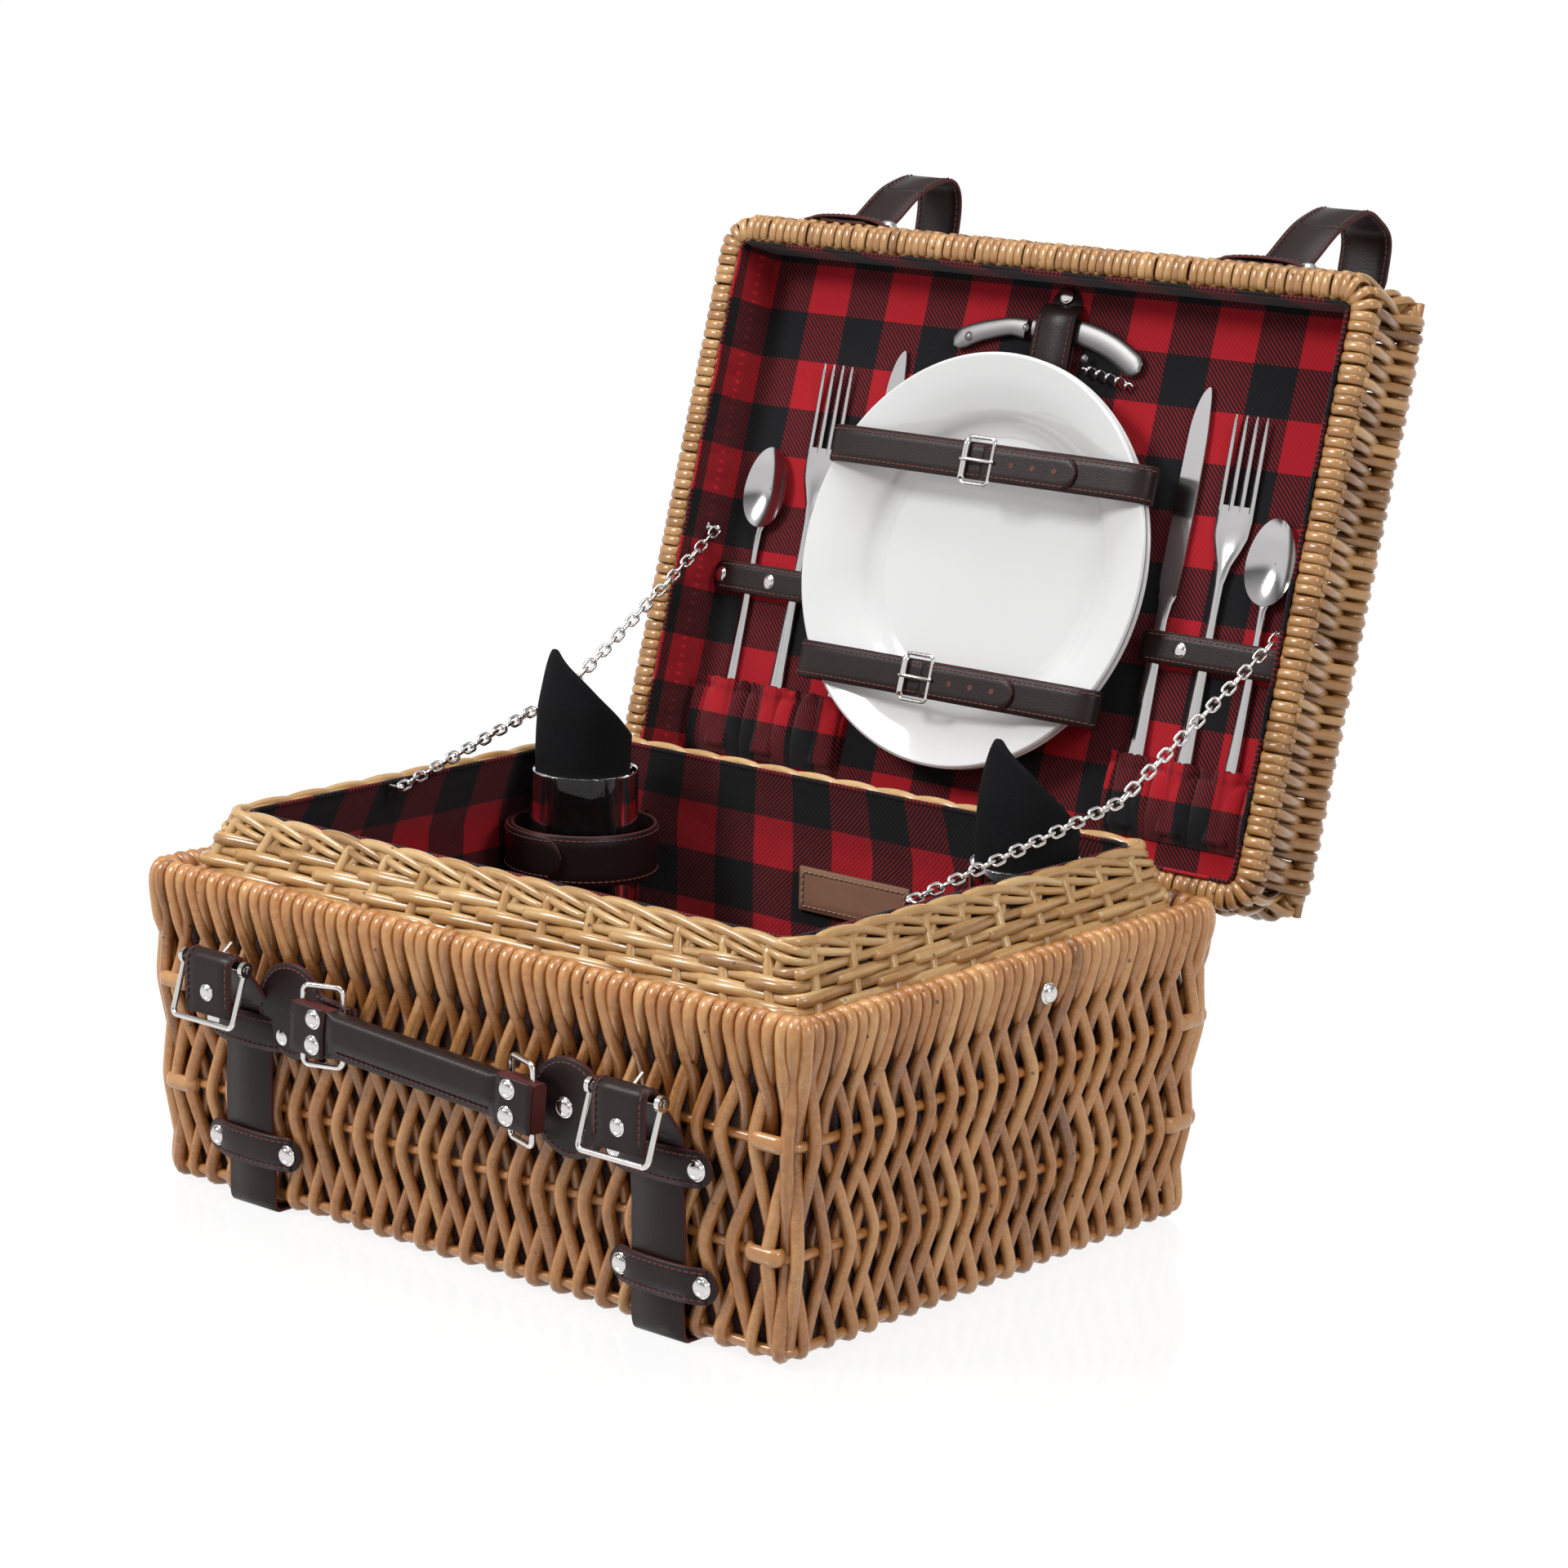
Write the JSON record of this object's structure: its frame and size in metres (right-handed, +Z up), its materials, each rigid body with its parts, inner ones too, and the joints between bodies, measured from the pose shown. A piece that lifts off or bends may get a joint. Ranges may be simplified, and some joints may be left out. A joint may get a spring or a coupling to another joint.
{
  "type": "picnic basket",
  "caption": "Rectangular willow picnic basket with a hinged lid held open by chains, checked lining, leather straps and handle, plates, cutlery, glasses and corkscrew.",
  "frame": {"origin": "middle of the underside", "axes": "+X to the basket's right seen from the front, +Y to the back (hinge side), +Z up; the front carries the handle and buckles"},
  "size_m": [0.4366, 0.5812, 0.4829],
  "materials": {
    "wicker_base": "natural willow",
    "wicker_lid": "natural willow",
    "wicker_collar": "pale willow",
    "lining_fabric": "red and black check",
    "leather_dark": "dark brown with red edges",
    "leather_tan": "plain brown",
    "hardware": "polished",
    "cutlery_steel": "polished",
    "corkscrew_handle": "brushed",
    "plate_glaze": "white glaze",
    "glass_clear": "clear",
    "napkin_cloth": "black"
  },
  "bodies": {
    "base": {"floor_panel": "wicker_base", "base_walls": "wicker_base", "base_rim": "wicker_base", "base_collar": "wicker_collar", "base_lining": "lining_fabric", "front_straps": "leather_dark", "strap_keepers": "leather_dark", "handle_pads": "leather_dark", "base_rivets": "hardware", "chain_studs_base": "hardware", "buckle_bars": "hardware", "label_patch": "leather_tan", "glass_loops": "leather_dark", "base_hinge_tabs": "leather_dark", "hinge_pins": "hardware"},
    "lid": {"lid_rim": "wicker_lid", "lid_walls": "wicker_lid", "lid_panel": "wicker_lid", "lid_lining": "lining_fabric", "cutlery_pockets": "lining_fabric", "cutlery_bands": "leather_dark", "plate_belts": "leather_dark", "plate_belt_buckles": "hardware", "corkscrew_loop": "leather_dark", "lid_strap_roots": "leather_dark", "lid_strap_keepers": "leather_dark", "lid_rivets": "hardware", "lid_hinge_tabs": "leather_dark"},
    "handle": {"handle_grip": "leather_dark", "handle_rivets": "hardware"},
    "buckle_frame_left": {"buckle_frame_left": "hardware"},
    "buckle_frame_right": {"buckle_frame_right": "hardware"},
    "buckle_prong_left": {"buckle_prong_left": "hardware"},
    "buckle_prong_right": {"buckle_prong_right": "hardware"},
    "handle_ring_left": {"handle_ring_left": "hardware"},
    "handle_ring_right": {"handle_ring_right": "hardware"},
    "wine_glass_left": {"wine_glass_left": "glass_clear"},
    "wine_glass_right": {"wine_glass_right": "glass_clear"},
    "napkin_left": {"napkin_left": "napkin_cloth"},
    "napkin_right": {"napkin_right": "napkin_cloth"},
    "corkscrew_body": {"corkscrew_body": "corkscrew_handle"},
    "corkscrew_lever": {"corkscrew_lever": "hardware"},
    "corkscrew_worm": {"corkscrew_worm": "hardware"},
    "plate_rear": {"plate_rear": "plate_glaze"},
    "plate_front": {"plate_front": "plate_glaze"},
    "knife_left": {"knife_left": "cutlery_steel"},
    "knife_right": {"knife_right": "cutlery_steel"},
    "fork_left": {"fork_left": "cutlery_steel"},
    "fork_right": {"fork_right": "cutlery_steel"},
    "spoon_left": {"spoon_left": "cutlery_steel"},
    "spoon_right": {"spoon_right": "cutlery_steel"},
    "lid_strap_left_near": {"lid_strap_left_near": "leather_dark"},
    "lid_strap_left_tip": {"lid_strap_left_tip": "leather_dark"},
    "lid_strap_right_near": {"lid_strap_right_near": "leather_dark"},
    "lid_strap_right_tip": {"lid_strap_right_tip": "leather_dark"},
    "chain_lower_left": {"chain_lower_left": "hardware"},
    "chain_lower_right": {"chain_lower_right": "hardware"},
    "chain_upper_left": {"chain_upper_left": "hardware"},
    "chain_upper_right": {"chain_upper_right": "hardware"}
  },
  "joints": [
    {"name": "lid_hinge", "type": "hinge", "parent": "base", "child": "lid", "pos_m": [0, 0.1666, 0.1494], "axis": [-1, 0, 0], "range_deg": [-105.7, 0], "deforming": ["napkin_left", "napkin_right"]},
    {"name": "buckle_frame_left_swing", "type": "hinge", "parent": "base", "child": "buckle_frame_left", "pos_m": [-0.135, -0.183, 0.129], "axis": [-1, 0, 0], "range_deg": [0, 80]},
    {"name": "buckle_prong_left_swing", "type": "hinge", "parent": "base", "child": "buckle_prong_left", "pos_m": [-0.135, -0.183, 0.129], "axis": [1, 0, 0], "range_deg": [0, 75]},
    {"name": "buckle_frame_right_swing", "type": "hinge", "parent": "base", "child": "buckle_frame_right", "pos_m": [0.132, -0.183, 0.1195], "axis": [-1, 0, 0], "range_deg": [0, 80]},
    {"name": "buckle_prong_right_swing", "type": "hinge", "parent": "base", "child": "buckle_prong_right", "pos_m": [0.132, -0.183, 0.1195], "axis": [1, 0, 0], "range_deg": [0, 75]},
    {"name": "handle_pull", "type": "slide", "parent": "base", "child": "handle", "axis": [0, -1, 0], "range_m": [0, 0.006]},
    {"name": "handle_ring_left_swing", "type": "hinge", "parent": "base", "child": "handle_ring_left", "pos_m": [-0.062, -0.1684, 0.1075], "axis": [0, 0, 1], "range_deg": [0, 18.6]},
    {"name": "handle_ring_right_swing", "type": "hinge", "parent": "base", "child": "handle_ring_right", "pos_m": [0.048, -0.1684, 0.0985], "axis": [0, 0, -1], "range_deg": [0, 18.6]},
    {"name": "wine_glass_left_lift", "type": "slide", "parent": "base", "child": "wine_glass_left", "axis": [0, 0, 1], "range_m": [0, 0.06]},
    {"name": "napkin_left_pull", "type": "slide", "parent": "wine_glass_left", "child": "napkin_left", "axis": [0, 0, 1], "range_m": [0, 0.05]},
    {"name": "wine_glass_right_lift", "type": "slide", "parent": "base", "child": "wine_glass_right", "axis": [0, 0, 1], "range_m": [0, 0.06]},
    {"name": "napkin_right_pull", "type": "slide", "parent": "wine_glass_right", "child": "napkin_right", "axis": [0, 0, 1], "range_m": [0, 0.05]},
    {"name": "chain_upper_left_fold", "type": "hinge", "parent": "lid", "child": "chain_upper_left", "pos_m": [-0.1915, 0.24463, 0.28806], "axis": [-0.9969, -0.0758, 0.0213], "range_deg": [0, 134.99]},
    {"name": "chain_lower_left_fold", "type": "hinge", "parent": "base", "child": "chain_lower_left", "pos_m": [-0.166, -0.028, 0.186], "axis": [0, 0.4601, -0.8878], "range_deg": [0, 155.83]},
    {"name": "chain_upper_right_fold", "type": "hinge", "parent": "lid", "child": "chain_upper_right", "pos_m": [0.1915, 0.24463, 0.28806], "axis": [-0.9969, 0.0758, -0.0213], "range_deg": [0, 134.99]},
    {"name": "chain_lower_right_fold", "type": "hinge", "parent": "base", "child": "chain_lower_right", "pos_m": [0.166, -0.028, 0.186], "axis": [0, -0.4601, 0.8878], "range_deg": [0, 155.83]},
    {"name": "plate_rear_turn", "type": "hinge", "parent": "lid", "child": "plate_rear", "pos_m": [-0.006, 0.24365, 0.29197], "axis": [0, 0.9627, -0.2706], "range_deg": [-90, 90]},
    {"name": "plate_front_turn", "type": "hinge", "parent": "lid", "child": "plate_front", "pos_m": [-0.006, 0.24365, 0.29197], "axis": [0, 0.9627, -0.2706], "range_deg": [-90, 90]},
    {"name": "knife_left_slide", "type": "slide", "parent": "lid", "child": "knife_left", "axis": [0, 0.2706, 0.9627], "range_m": [0, 0.038]},
    {"name": "knife_right_slide", "type": "slide", "parent": "lid", "child": "knife_right", "axis": [0, 0.2706, 0.9627], "range_m": [0, 0.038]},
    {"name": "fork_left_slide", "type": "slide", "parent": "lid", "child": "fork_left", "axis": [0, 0.2706, 0.9627], "range_m": [0, 0.045]},
    {"name": "fork_right_slide", "type": "slide", "parent": "lid", "child": "fork_right", "axis": [0, 0.2706, 0.9627], "range_m": [0, 0.045]},
    {"name": "spoon_left_slide", "type": "slide", "parent": "lid", "child": "spoon_left", "axis": [0, 0.2706, 0.9627], "range_m": [0, 0.06]},
    {"name": "spoon_right_slide", "type": "slide", "parent": "lid", "child": "spoon_right", "axis": [0, 0.2706, 0.9627], "range_m": [0, 0.06]},
    {"name": "corkscrew_slide", "type": "slide", "parent": "lid", "child": "corkscrew_body", "axis": [1, 0, 0], "range_m": [0, 0.024]},
    {"name": "corkscrew_lever_fold", "type": "hinge", "parent": "corkscrew_body", "child": "corkscrew_lever", "pos_m": [-0.016, 0.28778, 0.41201], "axis": [0, 0.9627, -0.2706], "range_deg": [0, 28]},
    {"name": "corkscrew_worm_fold", "type": "hinge", "parent": "corkscrew_body", "child": "corkscrew_worm", "pos_m": [0.026, 0.28272, 0.39473], "axis": [0, 0.9627, -0.2706], "range_deg": [0, 60]},
    {"name": "lid_strap_left_root", "type": "hinge", "parent": "lid", "child": "lid_strap_left_near", "pos_m": [-0.135, 0.30195, 0.45871], "axis": [1, 0, 0], "range_deg": [0, 126]},
    {"name": "lid_strap_left_bend", "type": "hinge", "parent": "lid_strap_left_near", "child": "lid_strap_left_tip", "pos_m": [-0.135, 0.35507, 0.48139], "axis": [1, 0, 0], "range_deg": [0, 112]},
    {"name": "lid_strap_right_root", "type": "hinge", "parent": "lid", "child": "lid_strap_right_near", "pos_m": [0.132, 0.30869, 0.45682], "axis": [1, 0, 0], "range_deg": [0, 125]},
    {"name": "lid_strap_right_bend", "type": "hinge", "parent": "lid_strap_right_near", "child": "lid_strap_right_tip", "pos_m": [0.132, 0.36674, 0.48226], "axis": [1, 0, 0], "range_deg": [0, 97]}
  ],
  "couplings": [
    {"joint": "handle_ring_left_swing", "follows": "handle_pull", "rad_per_m": 53.814},
    {"joint": "handle_ring_right_swing", "follows": "handle_pull", "rad_per_m": 53.814},
    {"joint": "chain_upper_left_fold", "follows": "lid_hinge", "ratio": -1.2752},
    {"joint": "chain_lower_left_fold", "follows": "lid_hinge", "ratio": -1.4724},
    {"joint": "chain_upper_right_fold", "follows": "lid_hinge", "ratio": -1.2752},
    {"joint": "chain_lower_right_fold", "follows": "lid_hinge", "ratio": -1.4724}
  ]
}
